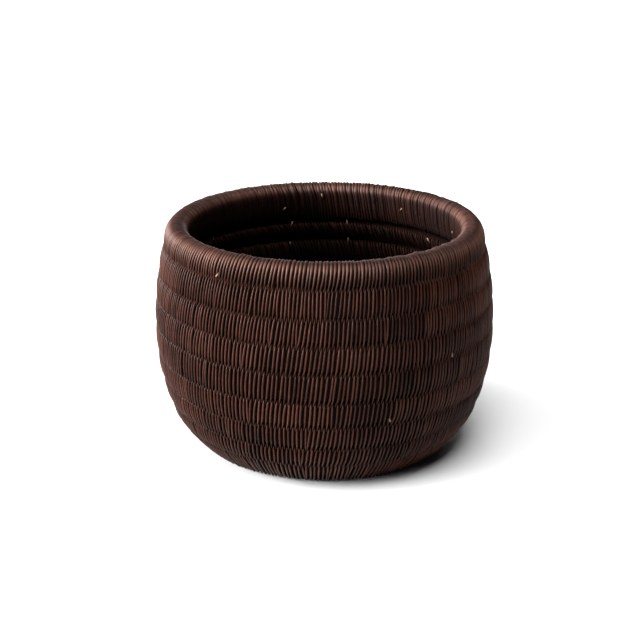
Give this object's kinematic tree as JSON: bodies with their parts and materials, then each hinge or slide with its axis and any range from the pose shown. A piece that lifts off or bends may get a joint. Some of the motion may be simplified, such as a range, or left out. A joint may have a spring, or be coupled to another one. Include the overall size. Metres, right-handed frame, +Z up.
{
  "type": "woven fruit basket",
  "caption": "Round open fruit basket in dark brown split vine: coiled hoops bound with close upright stitches, a full rolled rim, a rounded belly and a flat coiled base.",
  "frame": {"origin": "centre of the flat ring that the basket stands on, at the lowest height of its box", "axes": "+Z up along the basket's axis, out of the open mouth; X and Y are level and equal"},
  "size_m": [0.2298, 0.2298, 0.1537],
  "materials": {
    "vine_winding": "split vine stained dark brown, satin on the bark side, with light worn edges",
    "base_winding": "split vine stained dark brown, duller and a little rubbed",
    "core_fibre": "raw packed fibre bundle, matt, dark with stain"
  },
  "bodies": {
    "root": {"rim_core": "core_fibre", "rim_winding": "vine_winding", "wall_core_1": "core_fibre", "wall_core_2": "core_fibre", "wall_core_3": "core_fibre", "wall_core_4": "core_fibre", "wall_core_5": "core_fibre", "wall_core_6": "core_fibre", "wall_core_7": "core_fibre", "wall_core_8": "core_fibre", "wall_winding_1": "vine_winding", "wall_winding_2": "vine_winding", "wall_winding_3": "vine_winding", "wall_winding_4": "vine_winding", "wall_winding_5": "vine_winding", "wall_winding_6": "vine_winding", "wall_winding_7": "vine_winding", "wall_winding_8": "vine_winding", "base_core_1": "core_fibre", "base_core_2": "core_fibre", "base_core_3": "core_fibre", "base_core_4": "core_fibre", "base_winding_1": "base_winding", "base_winding_2": "base_winding", "base_winding_3": "base_winding", "base_winding_4": "base_winding", "base_centre_knot": "base_winding"}
  },
  "joints": []
}
